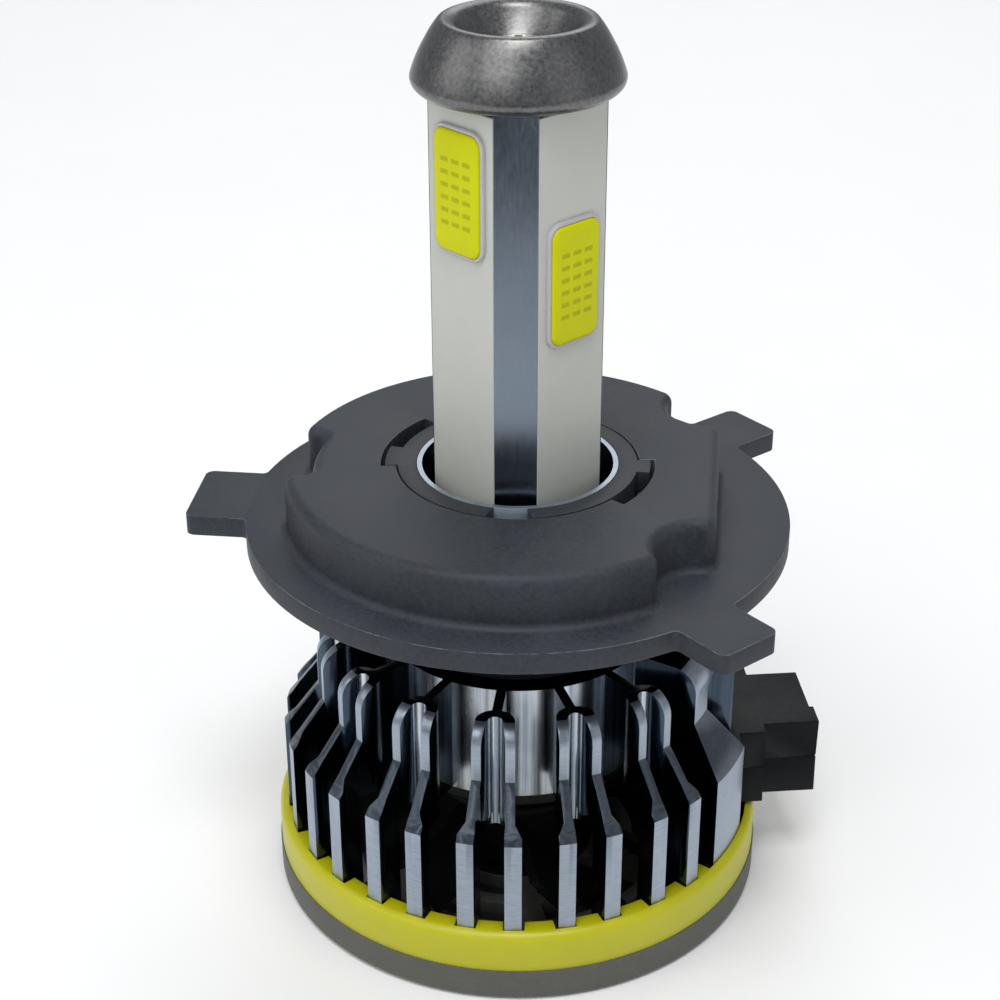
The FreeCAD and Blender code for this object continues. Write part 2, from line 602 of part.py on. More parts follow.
def cross_screw(label, radius, head, length, head_height, seat, down):
    """A pan-head screw with a cross recess; its shank points down or up from the seat."""
    dome = rod(head, head_height)
    dome = dome.makeFillet(head_height * 0.6, [edge for edge in dome.Edges if level(edge, head_height)])
    for turn in (0, 90):
        dome = dome.cut(swung(block(head * 1.2, head * 0.28, head_height, 0, 0, head_height * 0.45), turn))
    screw = dome.fuse(rod(radius, length, 0, 0, -length))
    if not down:
        screw.rotate(Vector(0, 0, 0), Vector(1, 0, 0), 180)
    screw.translate(Vector(0, 0, seat))
    return screw if label is None else solid(label, screw)


def fasteners():
    """Cap screw, post screw, the driver board's screws and the cover's screws."""
    seat = size("dish_floor")
    cross_screw("cap_screw", size("cap_screw_radius - thread_gap"), size("cap_screw_head"),
                seat - size("post_top - cap_screw_length + 1"), 1.1, seat, True)
    seat = size("hub_bottom") + 2
    cross_screw("post_screw", size("post_screw_radius - thread_gap"), size("post_screw_head"),
                size("barrel_floor + post_screw_length - 1") - seat, 1.6, seat, False)
    covers = []
    for side in (-1, 1):
        turn = math.radians(size("boss_angle") + side * size("cover_screw_spread"))
        screw = cross_screw(None, size("cover_screw_radius - thread_gap"), size("cover_screw_head"),
                            size("cover_screw_length"), 0.8, size("cover_bottom") + 0.9, False)
        screw.translate(Vector(math.cos(turn), math.sin(turn), 0) * size("cover_screw_place"))
        covers.append(screw)
    solid("cover_screws", Part.makeCompound(covers))
    under = size("driver_top - driver_thickness")
    drivers = []
    for side in (-1, 1):
        screw = cross_screw(None, size("driver_screw_radius - thread_gap"), size("driver_screw_head"),
                            size("driver_screw_length"), 0.8, under, False)
        screw.translate(Vector(0, side * size("driver_screw_place"), 0))
        drivers.append(screw)
    solid("driver_screws", Part.makeCompound(drivers))


# ---------------------------------------------------------------- ring, cover and fan

def prong_angles():
    """Where each prong of each fork meets the ring."""
    middle_of_tip = size("(tip_inner + tip_outer + tip_splay) / 2")
    lean = math.degrees(math.atan2(middle_of_tip, size("lower_radius")))
    forks = [size("first_fork") - step * size("fin_pitch") for step in range(FORKS)]
    return [fork + side * lean for fork in forks for side in (-1, 1)]


def trim_ring():
    """Coloured ring with a rounded outside, notched inside for the feet of the fins and the boss."""
    outer, inner, fins = size("ring_outer"), size("ring_inner"), size("cover_inner")
    bottom, height = size("ring_bottom"), size("ring_height")
    ring = rod(outer, height, 0, 0, bottom)
    ring = ring.makeFillet(size("ring_round"), [edge for edge in ring.Edges if level(edge, bottom + height)])
    ring = ring.cut(rod(inner, height + 2, 0, 0, bottom - 1))
    wide = size("tip_width") + 0.35
    notch = Part.makeBox(fins, wide, height + 2, Vector(0, -wide / 2, bottom - 1))
    boss = Part.makeCylinder(fins, height + 2, Vector(0, 0, bottom - 1), UP,
                             size("boss_flare + boss_back_flare") + 1)
    cuts = [swung(notch, angle) for angle in prong_angles()]
    cuts.append(swung(boss, size("boss_angle") - size("boss_flare") - 0.5))
    limit = rod(fins, height + 2, 0, 0, bottom - 1)
    solid("trim_ring", ring.cut(cuts[0].multiFuse(cuts[1:]).common(limit)))


def base_cover():
    """Shallow cup under the ring, with a grille for the fan's air."""
    body = new_body("base_cover")
    profile = new_sketch(body, "XZ_Plane")
    outline(profile, [("0", "cover_bottom"), ("cover_radius - cover_edge", "cover_bottom"),
                      ("cover_radius", "cover_bottom + cover_edge"), ("cover_radius", "ring_bottom"),
                      ("cover_inner", "ring_bottom"), ("cover_inner", "floor_top"), ("0", "floor_top")])
    turned(body, profile)
    for ring in range(VENT_RINGS):
        vent = new_sketch(body, lift="floor_top")
        start = f"vent_start + {ring} * vent_pitch"
        sector(vent, start, f"{start} + vent_width", "boss_angle - vent_half_angle",
               "boss_angle + vent_half_angle")
        cut = pocket(body, vent, "cover_floor + 1")
        around(body, cut, 6, "300")
    screws = new_sketch(body, lift="cover_bottom")
    seats = new_sketch(body, lift="cover_bottom")
    for side in ("-", "+"):
        place = polar("cover_screw_place", f"boss_angle {side} cover_screw_spread")
        circle(screws, "cover_screw_radius + screw_gap", *place)
        circle(seats, "cover_screw_head + screw_gap", *place)
    pocket(body, screws, "cover_floor + 1", up=True)
    pocket(body, seats, "0.9", up=True)


def fan_frame():
    """Spider that carries the fan on three arms, clamped between the fins and the cover."""
    low = size("floor_top")
    thick = size("sink_bottom") - low
    rim = size("cover_inner - slip_gap")
    ring = rod(rim, thick, 0, 0, low).cut(rod(size("frame_ring"), thick, 0, 0, low))
    arm = Part.makeBox(size("frame_ring") + 0.6, 2 * size("arm_half"), size("arm_thickness"),
                       Vector(0, -size("arm_half"), low))
    hub = rod(size("rotor_radius") - 0.6, size("arm_thickness"), 0, 0, low)
    frame = ring.multiFuse([hub] + [swung(arm, size("boss_angle") + 60 + step * 120) for step in range(3)])
    frame = frame.cut(rod(size("sleeve_outer"), 3, 0, 0, low - 1))
    for side in (-1, 1):
        turn = math.radians(size("boss_angle") + side * size("cover_screw_spread"))
        spot = Vector(math.cos(turn), math.sin(turn), 0) * size("cover_screw_place")
        frame = frame.cut(rod(size("cover_screw_radius + screw_gap"), 4, spot.x, spot.y, low - 1))
    solid("fan_frame", frame.removeSplitter())


def fan_stator():
    """Sleeve bearing, laminated core with four poles, its coils, and the fan's round board."""
    low = size("floor_top")
    sleeve_top = size("rotor_top - rotor_wall") - 0.4
    sleeve = rod(size("sleeve_outer"), sleeve_top - low, 0, 0, low)
    solid("fan_bearing", sleeve.cut(rod(size("shaft_radius + running_gap"), 9, 0, 0, low - 1)))
    board_low = low + size("arm_thickness")
    hollow = rod(size("sleeve_outer"), 9, 0, 0, board_low - 1)
    solid("fan_circuit_board", rod(size("stator_radius") + 0.9, 0.5, 0, 0, board_low).cut(hollow))

    core_low, core_high = board_low + 1.2, sleeve_top - 0.6
    poles = [swung(block(1.3, 2 * size("stator_radius"), core_high - core_low, 0, 0, core_low), angle)
             for angle in (0, 90)]
    shoe = rod(size("stator_radius"), core_high - core_low, 0, 0, core_low)
    shoe = shoe.cut(rod(size("stator_radius") - 0.55, 9, 0, 0, core_low - 1))
    gaps = [swung(block(1.2, 14, 9, 0, 0, core_low - 1), angle) for angle in (45, 135)]
    core = rod(2.6, core_high - core_low, 0, 0, core_low).multiFuse(poles + [shoe.cut(gaps[0].fuse(gaps[1]))])
    solid("fan_stator_core", core.cut(hollow).removeSplitter())
    winding = block(2.3, 1.25, core_high - core_low + 0.8, 0, -3.3, core_low - 0.4)
    winding = winding.cut(block(1.3, 3, core_high - core_low, 0, -3.3, core_low))
    solid("fan_coils", Part.makeCompound([swung(winding, angle) for angle in (0, 90, 180, 270)]))


def fan_rotor():
    """Cup with slanted blades; the magnet ring and the shaft turn with it."""
    top, bottom, wall = size("rotor_top"), size("rotor_bottom"), size("rotor_wall")
    outer = size("rotor_radius")
    cup = rod(outer, top - bottom, 0, 0, bottom)
    cup = cup.makeFillet(0.5, [edge for edge in cup.Edges if level(edge, top)])
    cup = cup.cut(rod(outer - wall, top - wall - bottom, 0, 0, bottom))
    chord = top - bottom
    blade = Part.makeBox(size("blade_reach") - outer + 0.4, size("blade_thickness"), chord,
                         Vector(outer - 0.4, -size("blade_thickness") / 2, 0))
    blade.translate(Vector(0, 0, -chord / 2))
    blade.rotate(Vector(0, 0, 0), Vector(1, 0, 0), size("blade_tilt"))
    blade.translate(Vector(0, 0, (top + bottom) / 2))
    blades = [swung(blade, step * 360 / BLADES) for step in range(BLADES)]
    duct = rod(size("blade_reach"), chord - 1, 0, 0, bottom + 0.3)
    duct = duct.cut(rod(outer - wall / 2, chord, 0, 0, bottom))
    blades = [item.common(duct) for item in blades]
    rotor = cup.multiFuse(blades).cut(rod(size("shaft_radius"), 9, 0, 0, top - 4))
    solid("fan_rotor", rotor)
    bore = rod(outer - wall - size("magnet_wall"), 9, 0, 0, bottom - 1)
    solid("fan_magnet_ring", rod(outer - wall, chord - wall - 0.3, 0, 0, bottom).cut(bore))
    low = size("floor_top") + 0.2
    solid("fan_shaft", rod(size("shaft_radius"), top - low, 0, 0, low))


# ---------------------------------------------------------------- driver board and plug

def driver_board():
    """Round board under the hub with a tongue to the plug, and the parts soldered under it."""
    top, turn = size("driver_top"), size("boss_angle")
    thick, half = size("driver_thickness"), size("tongue_half")
    disc = rod(size("driver_radius"), thick, 0, 0, top - thick)
    tongue = Part.makeBox(size("neck_start"), 2 * half, thick, Vector(0, -half, top - thick))
    board = disc.fuse(swung(tongue, turn)).removeSplitter()
    for side in (-1, 1):
        place = side * size("driver_screw_place")
        board = board.cut(rod(size("driver_screw_radius + screw_gap"), 4, 0, place, top - 2))
    solid("driver_board", board)
    low = top - thick
    inductor = rod(3.0, 2.2, -5.5, 0, low - 2.2)
    solid("driver_inductor", inductor.cut(rod(2.0, 0.3, -5.5, 0, low - 2.2)))
    beside = size("driver_screw_place") - 2.7
    capacitors = [rod(1.3, 2.2, x, y, low - 2.2) for x, y in ((2.5, beside), (2.5, -beside), (5.6, 4.2))]
    solid("driver_capacitors", Part.makeCompound(capacitors))
    chips = [block(3.2, 4.0, 1.1, 5.4, -1.4, low - 1.1), block(2.0, 2.6, 0.9, 0.4, 0.4, low - 0.9)]
    chips += [swung(block(1.6, 3.0, 1.0, 13.2, 0, low - 1.0), turn)]
    solid("driver_chips", Part.makeCompound(chips))


def plug_socket():
    """Black plate that closes the gate in the boss, its neck and socket, and the three blade pins."""
    top, height, turn = size("socket_top"), size("socket_height"), size("boss_angle")
    bottom, wall = top - height, size("socket_wall")
    start, neck_start = size("socket_start"), size("neck_start")
    low = size("sink_bottom + gate_gap")

    def bar(near, far, half, base, rise, middle_line=0.0):
        return Part.makeBox(far - near, 2 * half, rise, Vector(near, middle_line - half, base))

    plate = bar(neck_start, size("neck_start + gate_plate"), size("plate_half"), low, top - low)
    neck = bar(neck_start, start, size("neck_half"), bottom, height)
    mouth = bar(start, size("socket_end"), size("socket_half"), bottom, height)
    lip_half = size("socket_half") * 0.3
    lip = bar(size("socket_end"), size("socket_end") + size("socket_lip"), lip_half, bottom, height,
              lip_half - size("socket_half"))
    inside = bar(size("socket_floor"), size("socket_end") + 1, size("socket_half") - wall, bottom + wall,
                 height - 2 * wall)
    tail = size("neck_start - pin_tail")
    pins = [bar(tail, tail + size("pin_length"), size("pin_half"), (top + bottom - size("pin_height")) / 2,
                size("pin_height"), step * size("pin_pitch")) for step in (-1, 0, 1)]
    socket = plate.multiFuse([neck, mouth, lip]).removeSplitter().cut(inside)
    for pin in pins:
        socket = socket.cut(pin)
    solid("plug_socket", swung(socket, turn))
    solid("plug_pins", swung(Part.makeCompound(pins), turn))


EARS = (("left_ear_start", "left_ear_end"), ("right_ear_start", "right_ear_end"))

PIECES = (mounting_flange, lock_collar, flange_o_ring, heatsink, led_post, led_boards, led_leads, end_cap,
          fasteners, trim_ring, base_cover, fan_frame, fan_stator, fan_rotor, driver_board, plug_socket)
KINDS = ("PartDesign::Body", "Part::Feature", "Part::Box", "Part::Torus")

for make in PIECES:
    make()
document.recompute()

broken = [item.Label for item in document.Objects if {"Invalid", "Error"} & set(item.State)]
pieces = [item for item in document.Objects if item.TypeId in KINDS]
broken += [item.Label for item in pieces if item.Shape.isNull() or not item.Shape.isValid()]
if broken:
    raise RuntimeError(f"these features failed: {sorted(set(broken))}")
os.makedirs("parts", exist_ok=True)
for piece in pieces:
    piece.Shape.exportStep(f"parts/{piece.Label}.step")
print(f"{len(pieces)} pieces written")
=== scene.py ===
import logging
import math
from dataclasses import dataclass
from enum import Enum
from typing import Callable, Optional, Sequence

import bmesh
import bpy
from mathutils import Matrix, Vector
from mathutils.geometry import interpolate_bezier


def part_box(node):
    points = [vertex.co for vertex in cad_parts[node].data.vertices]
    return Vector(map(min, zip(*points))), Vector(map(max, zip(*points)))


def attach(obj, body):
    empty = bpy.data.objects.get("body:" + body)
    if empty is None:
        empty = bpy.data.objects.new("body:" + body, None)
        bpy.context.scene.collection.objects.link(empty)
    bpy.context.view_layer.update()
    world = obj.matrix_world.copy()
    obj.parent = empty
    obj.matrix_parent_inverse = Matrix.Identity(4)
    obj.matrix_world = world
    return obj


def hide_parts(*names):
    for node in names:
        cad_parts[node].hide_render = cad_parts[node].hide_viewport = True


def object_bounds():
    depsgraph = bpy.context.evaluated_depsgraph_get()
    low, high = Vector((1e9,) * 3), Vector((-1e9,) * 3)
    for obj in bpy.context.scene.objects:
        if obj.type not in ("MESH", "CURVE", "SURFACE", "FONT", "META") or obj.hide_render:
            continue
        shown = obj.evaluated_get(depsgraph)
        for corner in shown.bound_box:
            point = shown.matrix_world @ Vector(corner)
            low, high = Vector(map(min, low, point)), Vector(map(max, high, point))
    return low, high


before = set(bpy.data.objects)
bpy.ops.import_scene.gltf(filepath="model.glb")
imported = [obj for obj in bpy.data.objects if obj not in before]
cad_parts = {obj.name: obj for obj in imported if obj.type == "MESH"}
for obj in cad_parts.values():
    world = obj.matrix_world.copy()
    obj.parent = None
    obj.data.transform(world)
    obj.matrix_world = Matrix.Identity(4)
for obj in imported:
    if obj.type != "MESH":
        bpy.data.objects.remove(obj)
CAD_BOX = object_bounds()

MM = 0.001
# Vertices closer than this are one; edges shorter than a sliver vanish; faces this flat together are one.
MERGE_MM = 0.001
SLIVER_MM = 0.002
FLAT_DEGREES = 0.5
# How far a rounded corner's handles lie towards its tip, and the steps on it.
CORNER_PULL = 0.45
CORNER_STEPS = 6
# Edges of cast, filled and spun skins stay sharp only past this turn.
SKIN_DEGREES = 60.0
# Noise detail, the narrowest half range that grain is stretched from, and the limits of the shader.
GRAIN_DETAIL = 5.0
GRAIN_ROUGHNESS = 0.65
BLOTCH_DETAIL = 2.0
NARROWEST = 0.05
GLOSSIEST = 0.02
SCATTER_MM = 0.4

LOG = logging.getLogger("headlight_bulb")
Socket = bpy.types.NodeSocket
Face = bmesh.types.BMFace


# ------------------------------------------------------------------ materials

def linear(hex_code: str) -> tuple[float, float, float, float]:
    """Turn an sRGB hex value into the linear colour that a shader takes.

    Args:
        hex_code: six hex digits, such as "7f8a94".

    Returns:
        Red, green, blue and an alpha of one.
    """
    parts = [int(hex_code[at:at + 2], 16) / 255 for at in (0, 2, 4)]
    return (*(c / 12.92 if c <= 0.04045 else ((c + 0.055) / 1.055) ** 2.4 for c in parts), 1.0)


def add_node(tree: bpy.types.NodeTree, kind: str, inputs: Optional[dict] = None,
             **settings: str | float | bool) -> bpy.types.Node:
    """Add a node with its settings, and give its inputs values or links.

    Args:
        tree: the material's node tree.
        kind: the node's type name.
        inputs: input name or number, and the value or the output socket that feeds it.
        settings: the node's own properties.

    Returns:
        The new node.
    """
    node = tree.nodes.new(kind)
    for name, value in settings.items():
        setattr(node, name, value)
    for key, value in (inputs or {}).items():
        if isinstance(value, Socket):
            tree.links.new(value, node.inputs[key])
        else:
            node.inputs[key].default_value = value
    return node


@dataclass(frozen=True)
class Finish:
    """A surface: what it is made of, its colours, and the fine pattern that its making left."""

    name: str
    colour: str
    second: str
    metallic: float = 0.0
    roughness: float = 0.5
    roughness_spread: float = 0.1
    grain_mm: float = 0.5
    stretch: tuple[float, float, float] = (1.0, 1.0, 1.0)
    contrast: float = 0.6
    bump: float = 0.1
    bump_mm: float = 0.02
    blotch_mm: float = 6.0
    blotch: float = 0.3
    coat: float = 0.0
    specular: float = 0.5
    subsurface: float = 0.0

    def pattern(self, tree: bpy.types.NodeTree) -> Socket:
        """Grain at its real size, from 0 to 1, with larger soft blotches mixed in.

        Args:
            tree: the material's node tree.

        Returns:
            The socket with the pattern.
        """
        place = add_node(tree, "ShaderNodeTexCoord").outputs["Object"]
        scale = add_node(tree, "ShaderNodeMapping", {"Vector": place, "Scale": self.stretch})
        grain = add_node(tree, "ShaderNodeTexNoise", {
            "Vector": scale.outputs["Vector"], "Scale": 1 / (self.grain_mm * MM), "Detail": GRAIN_DETAIL,
            "Roughness": GRAIN_ROUGHNESS})
        blotches = add_node(tree, "ShaderNodeTexNoise", {
            "Vector": place, "Scale": 1 / (self.blotch_mm * MM), "Detail": BLOTCH_DETAIL})
        mixed = add_node(tree, "ShaderNodeMix", {
            "Factor": self.blotch, "A": grain.outputs["Fac"], "B": blotches.outputs["Fac"]})
        half = max(0.5 * (1 - self.contrast), NARROWEST)
        spread = add_node(tree, "ShaderNodeMapRange", {
            "Value": mixed.outputs["Result"], "From Min": 0.5 - half, "From Max": 0.5 + half})
        return spread.outputs["Result"]

    def colours(self, tree: bpy.types.NodeTree, pattern: Socket) -> Socket:
        """The base colour, between the two colours of the finish."""
        mix = add_node(tree, "ShaderNodeMix", {
            "Factor": pattern, "A": linear(self.colour), "B": linear(self.second)}, data_type="RGBA")
        return mix.outputs["Result"]

    def build(self) -> bpy.types.Material:
        """Make the material, or hand back the one already made."""
        found = bpy.data.materials.get(self.name)
        if found:
            return found
        material = bpy.data.materials.new(self.name)
        material.use_nodes = True
        tree = material.node_tree
        shader = tree.nodes["Principled BSDF"]
        pattern = self.pattern(tree)
        tree.links.new(self.colours(tree, pattern), shader.inputs["Base Color"])
        rough = add_node(tree, "ShaderNodeMapRange", {
            "Value": pattern, "To Min": max(self.roughness - self.roughness_spread, GLOSSIEST),
            "To Max": min(self.roughness + self.roughness_spread, 1.0)})
        tree.links.new(rough.outputs["Result"], shader.inputs["Roughness"])
        bump = add_node(tree, "ShaderNodeBump", {
            "Height": pattern, "Strength": self.bump, "Distance": self.bump_mm * MM})
        tree.links.new(bump.outputs["Normal"], shader.inputs["Normal"])
        shader.inputs["Metallic"].default_value = self.metallic
        shader.inputs["Coat Weight"].default_value = self.coat
        shader.inputs["Specular IOR Level"].default_value = self.specular
        shader.inputs["Subsurface Weight"].default_value = self.subsurface
        shader.inputs["Subsurface Scale"].default_value = SCATTER_MM * MM
        return material


@dataclass(frozen=True)
class OverDies(Finish):
    """Phosphor with the soft, darker marks of the rows of dies that lie under it."""

    mark: str = "9a9c00"
    turn: float = 0.0
    middle: float = 0.0
    pitch_mm: tuple[float, float] = (1.0, 1.0)
    count: tuple[int, int] = (3, 6)
    half_mm: tuple[float, float] = (0.4, 0.17)
    soft_mm: float = 0.16
    strength: float = 0.6

    def rows(self, tree: bpy.types.NodeTree, place: Socket, along: int) -> Socket:
        """Soft stripes at the places of the dies, counted along one direction.

        Args:
            tree: the material's node tree.
            place: distance from the middle of the pad, in metres.
            along: 0 across the pad, 1 up it.

        Returns:
            The socket with one on a die and nought between dies.
        """
        def maths(operation: str, first: Socket, second: Socket | float = 0.0) -> Socket:
            """One sum on one or two values."""
            return add_node(tree, "ShaderNodeMath", {0: first, 1: second}, operation=operation).outputs[0]

        pitches = maths("DIVIDE", place, self.pitch_mm[along] * MM)
        steps = maths("ADD", pitches, 0.5 * ((self.count[along] + 1) % 2))
        off = maths("ABSOLUTE", maths("SUBTRACT", steps, maths("ROUND", steps)))
        half, soft = self.half_mm[along] / self.pitch_mm[along], self.soft_mm / self.pitch_mm[along]
        stripe = add_node(tree, "ShaderNodeMapRange", {
            "Value": off, "From Min": half - soft / 2, "From Max": half + soft / 2, "To Min": 1.0,
            "To Max": 0.0}, interpolation_type="SMOOTHSTEP").outputs["Result"]
        within = maths("LESS_THAN", maths("ABSOLUTE", pitches), self.count[along] / 2)
        return maths("MULTIPLY", stripe, within)

    def colours(self, tree: bpy.types.NodeTree, pattern: Socket) -> Socket:
        """The phosphor's colours with the die marks mixed in."""
        plain = super().colours(tree, pattern)
        place = add_node(tree, "ShaderNodeTexCoord").outputs["Object"]
        local = add_node(tree, "ShaderNodeMapping", {
            "Vector": place, "Location": (0, 0, -self.middle), "Rotation": (0, 0, -self.turn)})
        axes = add_node(tree, "ShaderNodeSeparateXYZ", {"Vector": local.outputs["Vector"]})
        across, up = self.rows(tree, axes.outputs["X"], 0), self.rows(tree, axes.outputs["Z"], 1)
        marks = add_node(tree, "ShaderNodeMath", {0: across, 1: up}, operation="MULTIPLY")
        faded = add_node(tree, "ShaderNodeMath", {0: marks.outputs[0], 1: self.strength},
                         operation="MULTIPLY")
        mix = add_node(tree, "ShaderNodeMix", {
            "Factor": faded.outputs[0], "A": plain, "B": linear(self.mark)}, data_type="RGBA")
        return mix.outputs["Result"]


# Zinc casting under a grey metallic lacquer: a soft, sparkling cast grain.
CAST_CAP = Finish("cast_zinc_grey", "454546", "8c8c8c", metallic=0.9, roughness=0.32, grain_mm=0.3,
                  contrast=0.35, bump=0.35, bump_mm=0.02, blotch_mm=3, blotch=0.15)
# Charcoal baked coating on the flange casting: satin, with a grain that just shows in the highlights.
COATED_FLANGE = Finish("charcoal_coating", "2f3239", "3e4249", metallic=0.1, roughness=0.55, grain_mm=0.35,
                       contrast=0.75, bump=0.4, bump_mm=0.03, blotch_mm=5, blotch=0.35, specular=0.3)
# The same coating on the eased edges: lighter and drier.
LIGHTER_EDGE_FLANGE = Finish("charcoal_coating_lighter_edges", "3f434a", "71767f", metallic=0.25, roughness=0.5, grain_mm=0.45,
                     contrast=0.85, bump=0.4, bump_mm=0.03, blotch_mm=3, blotch=0.5, specular=0.35)
# Glass-filled nylon of the lock collar: near black, a dull moulded skin.
BLACK_NYLON = Finish("moulded_black_nylon", "26282c", "33363b", roughness=0.5, grain_mm=0.4, bump=0.2,
                     blotch_mm=4, specular=0.3)
# Turned aluminium: bright faces with the fine rings of the lathe tool.
TURNED = Finish("turned_aluminium", "8791a0", "b2bcc9", metallic=0.9, roughness=0.36, grain_mm=1.2,
                stretch=(1, 1, 12), contrast=0.5, bump=0.12, bump_mm=0.01, blotch_mm=8)
# Chamfer cut last on the fins: greyer, with torn scratches across. The faces that look up take it too, and
# its dark grey is partly painted shade for the dark flange that they reflect.
SCUFFED_PAINTED_SHADE = Finish("scuffed_aluminium_painted_shade", "3a414a", "626b76", metallic=0.9, roughness=0.34, grain_mm=0.3,
                 stretch=(1, 1, 2.5), contrast=0.5, bump=0.25, bump_mm=0.02, blotch_mm=4, blotch=0.3)
# Sides of the extruded fins: a mirror with straight draw lines, painted dark blue as shade; the faces that
# look out get a lit copy.
EXTRUDED_PAINTED_SHADE = Finish("extruded_aluminium_painted_shade", "323c4a", "576472", metallic=1.0, roughness=0.2, grain_mm=0.5,
                  stretch=(1, 1, 0.03), contrast=0.6, bump=0.10, bump_mm=0.01, blotch_mm=8,
                  roughness_spread=0.06)
# Hub and arches face outwards and catch the light: the lit copy of the fins' aluminium, a painted highlight
# in silver with straight draw lines.
DRAWN_PAINTED_HIGHLIGHT = Finish("extruded_aluminium_painted_highlight", "8a949f", "e3e9ee", metallic=0.95, roughness=0.2, grain_mm=0.7,
               stretch=(1, 1, 0.02), contrast=0.75, bump=0.15, bump_mm=0.01, blotch_mm=6,
               roughness_spread=0.08)
# Cut ends of the extrusion: a mirror under the flange, painted black as shade for the dark flange it
# reflects.
SAWN_PAINTED_SHADE = Finish("cut_aluminium_painted_shade", "0d0f13", "1b1f26", metallic=1.0, roughness=0.2, grain_mm=1.0,
              bump=0.08, bump_mm=0.01)
# Polished corner strips of the post: blue-grey mirror with faint specks.
POLISHED_STRIP = Finish("polished_aluminium", "6c7682", "8a95a2", metallic=1.0, roughness=0.24, grain_mm=0.25,
                        stretch=(1, 1, 0.25), contrast=0.5, bump=0.08, bump_mm=0.01, blotch_mm=7,
                        blotch=0.5, roughness_spread=0.07)
# White solder mask over the aluminium-core boards: warm grey-white, almost even.
SOLDER_MASK = Finish("white_solder_mask", "c2c4bc", "cdcfc7", roughness=0.42, grain_mm=1.5, contrast=0.3,
                     bump=0.06, blotch_mm=9, blotch=0.6, coat=0.1)
# Silicone dam round the chips: milky, a little translucent.
DAM_SILICONE = Finish("milky_silicone", "b4b3ba", "c6c5cb", roughness=0.32, grain_mm=1.2, contrast=0.3,
                      bump=0.08, subsurface=0.25)
# Phosphor in silicone: strong lemon yellow with a soft wet skin.
PHOSPHOR = Finish("phosphor_silicone", "cfd200", "dadd00", roughness=0.45, grain_mm=1.4, contrast=0.4,
                  bump=0.08, blotch_mm=4, blotch=0.6, specular=0.15)
# Sapphire dies under the phosphor: glassy, tinted olive by it.
SAPPHIRE = Finish("sapphire_die", "8c8e04", "a7aa08", roughness=0.2, grain_mm=0.3, bump=0.1)
# Nickel-plated screw: warm silver.
NICKEL = Finish("nickel_plate", "b9b8ad", "d8d7cc", metallic=0.95, roughness=0.25, grain_mm=0.4, bump=0.1)
# Yellow polypropylene ring: even satin with a soft translucent edge.
YELLOW_RING = Finish("yellow_polypropylene", "bab806", "c9c512", roughness=0.4, grain_mm=1.5, contrast=0.4,
                     bump=0.06, blotch_mm=10, blotch=0.6, subsurface=0.08)
# Grey ABS of the base cover: warm and matt.
GREY_ABS = Finish("moulded_grey_abs", "4d4d48", "5f5f58", roughness=0.55, grain_mm=0.4, bump=0.25,
                  blotch_mm=5)
# Black nylon of the plug socket, with a cold cast and a fine sparked skin.
PLUG_NYLON = Finish("sparked_black_nylon", "0a0c0f", "13161a", roughness=0.45, grain_mm=0.3, bump=0.35,
                    blotch_mm=3, specular=0.15)
# Fan plastic: plain black, a little glossy.
FAN_PBT = Finish("moulded_black_pbt", "060607", "0e0f11", roughness=0.55, grain_mm=1.0, bump=0.08,
                 specular=0.3)
# Rubber of the O-ring.
RUBBER = Finish("black_nitrile_rubber", "0c0c0c", "191919", roughness=0.6, grain_mm=0.5, bump=0.15)
# Black boards, copper windings and the small parts of the driver and the fan motor.
BOARD_BLACK = Finish("black_solder_mask", "070808", "101112", roughness=0.4, grain_mm=0.8, bump=0.1)
COPPER = Finish("enamelled_copper_wire", "7a3514", "b5602a", metallic=0.9, roughness=0.3, grain_mm=0.35,
                stretch=(1, 1, 6), contrast=0.8, bump=0.5, bump_mm=0.05)
STEEL = Finish("laminated_steel", "6a6c70", "8a8c90", metallic=0.95, roughness=0.35, grain_mm=0.5,
               stretch=(0.1, 0.1, 8), contrast=0.8, bump=0.4, bump_mm=0.04)
BRONZE = Finish("sintered_bronze", "7a5a2e", "9b7a48", metallic=0.85, roughness=0.45, grain_mm=0.2, bump=0.3)
FERRITE = Finish("bonded_ferrite", "1a1a1c", "2a2a2c", roughness=0.6, grain_mm=0.3, bump=0.2)
CAN = Finish("capacitor_sleeve", "2a2d52", "3b3f68", roughness=0.35, grain_mm=0.8, bump=0.1)
EPOXY = Finish("moulded_epoxy", "121212", "1e1e1e", roughness=0.5, grain_mm=0.25, bump=0.25)
LEAD = Finish("black_silicone_lead", "17181a", "222326", roughness=0.45, grain_mm=0.8, bump=0.1)
TIN = Finish("tinned_brass", "b7a878", "d6c99a", metallic=0.95, roughness=0.3, grain_mm=0.5, bump=0.1)
# Studio floor: plain, pale paper.
PAPER = Finish("pale_studio_paper", "f8f8f8", "fcfcfc", roughness=0.8, grain_mm=40, contrast=0.2, bump=0.0)
# Dark felt: something dark for the mirror-like faces to show; under the base it is painted shade, so the
# vents look into the dark.
FELT_AND_PAINTED_SHADE = Finish("dark_felt_and_painted_shade", "101114", "1a1b1f", roughness=0.9, grain_mm=2, bump=0.1)


# ------------------------------------------------------------------ mesh helpers

def place_object(name: str, bm: bmesh.types.BMesh, finishes: Sequence[Finish],
                 sharp_degrees: float = 32.0) -> bpy.types.Object:
    """Turn a bmesh into a shown object at the origin, with smooth faces and sharp corners.

    Args:
        name: the object's name.
        bm: the bmesh, which is freed.
        finishes: the finishes of its material slots, in order.
        sharp_degrees: edges that turn by more than this stay sharp.

    Returns:
        The new object.
    """
    mesh = bpy.data.meshes.new(name)
    bm.to_mesh(mesh)
    bm.free()
    mesh.shade_smooth()
    mesh.set_sharp_from_angle(angle=math.radians(sharp_degrees))
    for finish in finishes:
        mesh.materials.append(finish.build())
    obj = bpy.data.objects.new(name, mesh)
    bpy.context.scene.collection.objects.link(obj)
    return obj


